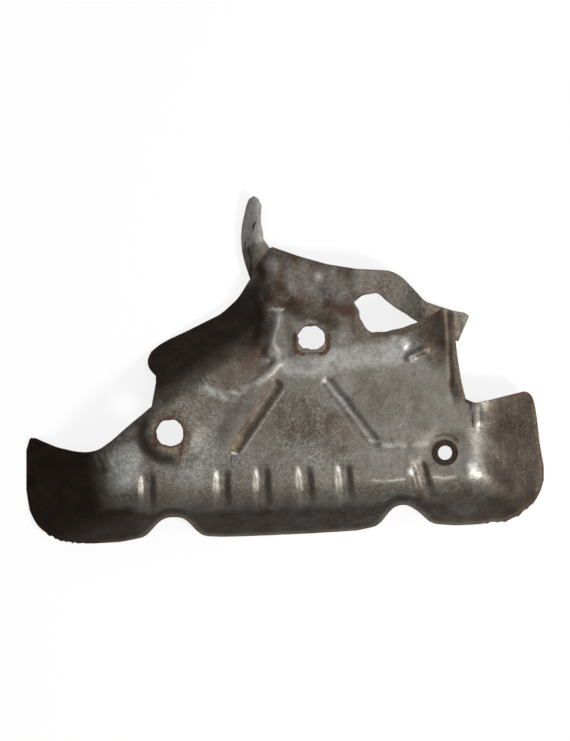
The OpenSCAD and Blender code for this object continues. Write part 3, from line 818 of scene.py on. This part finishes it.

# Soot and dark marks, with painted shade beside the slanting beads, above the eyelet's seat and on
# the wing and its fold
SOOT_AND_SHADE = [
    (((-33, -20), (-44, -48)), 2, 9, 0.4), (((-20, 62), (-19, 20)), 1, 8, 0.75),
    (((-17, 72), (-13, 50)), 0.5, 6, 0.7), (((156, -23), (173, -25)), 2, 12, 0.26),
    (((-18.5, 84), (-16.5, 72)), 0.5, 8, 0.34), (((-13.6, 112), (-15, 96)), 0.2, 1.6, 0.4),
    (((-28.6, 91.4), (-24.2, 82), (-23.4, 74), (-25.4, 63)), 0.2, 0.9, 0.85),
    (((-20.6, 105.4), (-22.4, 103), (-21.4, 99.8)), 0.2, 0.9, 0.95),
    (((130, -21.6), (131, -28), (132.6, -40)), 0.2, 1.1, 0.8),
    (((127.4, -21.4), (130.6, -23.4)), 0.6, 2.2, 0.7), (((-17.5, 16), (-13, 8)), 0.4, 1.8, 0.5),
    (((-134, -57), (-126, -72)), 0.6, 3.4, 0.6), (((111, 30), (107, 22)), 3, 14, 0.5),
    (((114.4, 38), (115.6, 8), (117.6, -10)), 0.6, 3.6, 0.62),
    (((35.4, -8), (66.8, -48.8)), 0.2, 1.4, 0.2), (((-9.6, -10.4), (-39, -54.2)), 0.5, 3.5, 0.5),
    (((121, -49), (117, -46), (112.5, -45), (106, -46.6)), 0.1, 1.7, 0.62),
    (((3, 34), (3.5, 22)), 1, 5, 0.35), (((-5, 60),), 1, 6, 0.5), (((4, 46),), 1, 6, 0.45),
    (((10, 38), (28, 36)), 2, 6, 0.5),
]

# Coarse grain
GRAINY = [
    (((-60, -42), (-108, -64)), 10, 26, 0.75), (((-44, -64), (40, -64)), 3, 16, 0.6),
    (((10, -34),), 10, 26, 0.85), (((-56, -13), (-34, -18)), 3, 10, 0.9),
    (((70, -54), (100, -70)), 4, 14, 0.4), (((-90, -80), (90, -80)), 3, 8, 0.35),
]

# Rust at the holes, tears and rims
RUST = [
    (((-90.6, -41), (-91.4, -53)), 0.3, 1.4, 0.95), (((-71.4, -46), (-72.4, -58)), 0.9, 1.3, 1.0),
    (((-72.4, -58), (-73.4, -66)), 0.2, 1.2, 1.0),
    (((7.4, 25), (6.9, 16), (8.5, 12.4), (13, 11.2)), 0.7, 1.6, 1.0),
    (((31, 24), (30.6, 15), (28, 11.8)), 0.7, 1.6, 1.0), (((13, 11.2), (28, 11.6)), 0.3, 1.1, 0.9),
    (((-36.6, -59), (-37.4, -73)), 0.2, 1.0, 0.7), (((25.6, 11.6),), 1.2, 1, 0.95),
    (((-99, -25), (-91, -33)), 1, 4, 0.45), (((-91, -13), (-92, -27)), 1, 4, 0.5),
    (((-88, -36.4), (-80, -33.4), (-71.6, -38), (-69.6, -46)), 0.5, 2.6, 0.85),
]

# Red flush of the heat
FLUSH = [
    (((30, 46), (45, 42.5)), 0, 13, 0.72), (((-10, 62), (-22, 4)), 5, 15, 0.45),
    (((-4, 52), (10, 45)), 3, 9, 0.35),
]

# Rims of the two stud notches, and the light sliver at the tongue's foot
NOTCH_RIMS = [((-92, -104), (-66, -104)), ((74, -96), (96, -98))]
TONGUE_FOOT = [((-29.2, 88), (-26.8, 78)), ((-26.8, 78), (-26.4, 68))]

# The largest share that is stored
SHARE_TOP = 1.3


def marks(x, y, table):
    """The strongest share of the marks in a table at each point."""
    out = np.zeros_like(x)
    for path, core, fade, share in table:
        off = path_distance(x, y, path if len(path) > 1 else path * 2)[0]
        out = np.maximum(out, share * (1 - ease((off - core) / fade)))
    return out


def paint_shares(panel, rim):
    """Shares of soot with painted shade, brown heat tint, tan film, red flush, rust, rubbed metal
    with painted highlights and sheen, and coarse grain, stored on the points."""
    co = np.empty(len(panel.data.vertices) * 3)
    panel.data.vertices.foreach_get("co", co)
    points = co.reshape(-1, 3) / MM
    x, y, z = points.T
    facing = np.empty(len(co))
    panel.data.vertex_normals.foreach_get("vector", facing)
    under = rise(-facing.reshape(-1, 3)[:, 2], 0, 0.4)
    outside = 1 - under

    # Regions of the sheet
    gap = rim_gap(points, rim)
    up_flange = past(x, y, FLANGE_FOOT, FLANGE_WAY)
    level = y - RIM_LEAN * x
    left_of_ridge = fall(x, -9 - 3 * np.sin(y / 7), 11)
    left = fall(x, -117 - 4 * np.cos((y + 68) / 12), 22)
    far_left = fall(x, -98, 14)
    right = rise(x, 135, 14)
    wall = fall(level, -90 + 5 * far_left, 11)
    low_wall = rise(gap, 1.5, 4)
    lips = fall(y, -78, 4) * (1 - rise(gap, 8, 5)) * rise(gap, 2.5, 2.5)
    lip = (1 - rise(gap, 4, 2)) * fall(y, -96, 4)
    bend = rise(level, -96, 8) * fall(level, -72, 7) * rise(x, -98, 10) * fall(x, 130, 14)
    tongue = rise(y - 0.3 * (x + 11), 90, 5) * fall(x, -8, 2)
    top = rise(y - 0.1 * x, 34, 12) * rise(x, -18, 5) * (1 - tongue)
    strip = rise(x, OPEN_X, 14) * rise(y + 0.28 * (x - 82), 33, 4) * (1 - rise(z, 37, 2))
    notch = sum(near_line(x, y, *ends, 9, 6) for ends in NOTCH_RIMS)
    sliver = sum(near_line(x, y, *ends, 0.7, 1.2) for ends in TONGUE_FOOT)
    from_hole = np.hypot(x - LEFT_HOLE[0], y - LEFT_HOLE[1])
    round_hole = np.arctan2(y - LEFT_HOLE[1], x - LEFT_HOLE[0])
    # Painted shade on the left and lower flank of the left hole's raised seat
    seat_shade = 1 - ease(np.abs(from_hole - 19) / 9)
    seat_shade = seat_shade * rise(np.cos(round_hole + 2.6), 0.05, 0.6)

    # Soot and painted shade: the left end, the flange left of the ridge and the bottom wall darken
    # partly as soot and partly as painted shade where they turn from the key lamp; the notch lips and
    # the left seat's flank get painted shade
    soot_and_shade = strongest(
        0.97 * left, (1 - rise(up_flange, 20, 20)) * left_of_ridge * fall(y, 68, 12),
        (0.42 + 0.36 * low_wall + 0.16 * far_left) * wall * (1 - 0.3 * rise(x, 100, 30)),
        0.7 * lips * np.clip(notch, 0, 1), 0.74 * seat_shade, marks(x, y, SOOT_AND_SHADE), 0.45 * under)
    soot_and_shade = soot_and_shade * (1 - 0.75 * np.clip(sliver, 0, 1))
    brown = strongest(
        0.06 * top, 0.1 * strip, 0.8 * right,
        0.85 * (1 - rise(up_flange, 26, 26)) * left_of_ridge * fall(y, 86, 14),
        0.45 * fall(y, -64, 20) * rise(x, 90, 30), 0.28 * fall(x, -60, 20) * fall(x, -50, 40),
        marks(x, y, BROWN), 0.6 * under)
    tan = strongest(marks(x, y, TAN), 0.36 * bend, 0.6 * lip, 0.5 * strip, 0.3 * top)
    flush = strongest(marks(x, y, FLUSH), 0.6 * tongue, 0.42 * top)
    rust = strongest(
        0.5 * (1 - rise(gap, 0.5, 2.0)) * (1 - 0.6 * tongue),
        0.7 * (1 - rise(gap, 1, 4)) * rise(x, 150, 10),
        0.9 * near(x, y, LEFT_HOLE, LEFT_HOLE_R + 0.4, 2.2),
        0.9 * near(x, y, CENTRE_HOLE, CENTRE_HOLE_R - 0.6, 1.5), marks(x, y, RUST), 0.5 * under)
    # Painted highlights and sheen with rubbed metal: the marks, a little over the bottom bend, and a
    # lightening of the tongue and the strip
    rubbed_and_highlight = strongest(marks(x, y, RUBBED_AND_HIGHLIGHT), 0.12 * bend, 0.6 * tongue, 0.36 * strip)

    # Beside each bead across the bottom bend: painted shade on its right side, a painted highlight on
    # its left and a tan middle
    for rib_x, rib_top, lean in zip(RIB_X, RIB_TOP, RIB_LEAN):
        shade = ((rib_x + 4.6, rib_top - 2), (rib_x + 5.2 + lean * 34, rib_top - 34))
        soot_and_shade = np.maximum(soot_and_shade, 0.46 * near_line(x, y, *shade, 1.0, 3.0))
        shine = ((rib_x - 3.6, rib_top - 1), (rib_x - 3.2 + lean * 14, rib_top - 15))
        rubbed_and_highlight = np.maximum(rubbed_and_highlight, 0.36 * (1 - 3 * lean) * near_line(x, y, *shine, 0.6, 2.8))
        middle = ((rib_x, rib_top - 7), (rib_x + lean * 28, rib_top - 28))
        tan = np.maximum(tan, 0.42 * near_line(x, y, *middle, 1.0, 2.6))
    shares = {"soot_and_shade": soot_and_shade, "brown": brown, "tan": tan * outside, "flush": flush * outside,
              "rust": rust, "rubbed_and_highlight": rubbed_and_highlight * outside, "grainy": marks(x, y, GRAINY)}
    for name, values in shares.items():
        layer = panel.data.attributes.new(name, "FLOAT", "POINT")
        layer.data.foreach_set("value", np.clip(values, 0, SHARE_TOP).astype(np.float32))


# Stage, lights and camera

CAMERA_ABOVE_FACE = 1.5
SENSOR_W = 36
PHOTO_TALL_PX, MM_A_PX = 741, 0.7
FRAME_TALL = PHOTO_TALL_PX * MM_A_PX * MM
HALF_PX = MM_A_PX / 2 * MM
FLOOR_SIZE = 6
LIGHTS = [
    # name, place, target, size, power
    ("key", (0.8, -0.52, 1.05), (0.02, -0.02, 0), 0.26, 14),
    ("fill", (0.5, 1.4, 1.2), (0, 0, 0), 1.0, 7),
    ("overhead", (0.15, 0.2, 1.8), (0, 0, 0), 1.8, 9),
]
WORLD_COLOUR, WORLD_STRENGTH = "#e8eaee", 0.4


def make_stage():
    bpy.ops.object.select_all(action="DESELECT")
    bpy.ops.mesh.primitive_plane_add(size=FLOOR_SIZE, location=(0, 0, 0))
    floor = bpy.context.object
    floor.name = "floor"
    dress(floor, pale_floor())


def make_light(name, place, target, size, power):
    data = bpy.data.lights.new(name, "AREA")
    data.shape = "DISK"
    data.size = size
    data.energy = power
    lamp = bpy.data.objects.new(name, data)
    lamp.location = place
    lamp.rotation_euler = (Vector(target) - Vector(place)).to_track_quat("-Z", "Y").to_euler()
    bpy.context.scene.collection.objects.link(lamp)


def make_camera():
    data = bpy.data.cameras.new("camera")
    data.sensor_width = SENSOR_W
    data.lens = data.sensor_width * CAMERA_ABOVE_FACE / FRAME_TALL
    camera = bpy.data.objects.new("camera", data)
    camera.location = (HALF_PX, -HALF_PX, FACE_H * MM + CAMERA_ABOVE_FACE)
    bpy.context.scene.collection.objects.link(camera)
    bpy.context.scene.camera = camera


def make_world():
    world = bpy.data.worlds.new("world")
    world.use_nodes = True
    background = world.node_tree.nodes["Background"]
    background.inputs["Color"].default_value = srgb(WORLD_COLOUR)
    background.inputs["Strength"].default_value = WORLD_STRENGTH
    bpy.context.scene.world = world


panel, rim = make_panel()
paint_shares(panel, rim)
dress(panel, tarnished_steel())
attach(panel, "root")
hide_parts("heat_shield")
dress(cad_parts["bolt_eyelet"], rusted_eyelet())

make_stage()
for light in LIGHTS:
    make_light(*light)
make_camera()
make_world()
bpy.context.scene.view_settings.view_transform = "Standard"
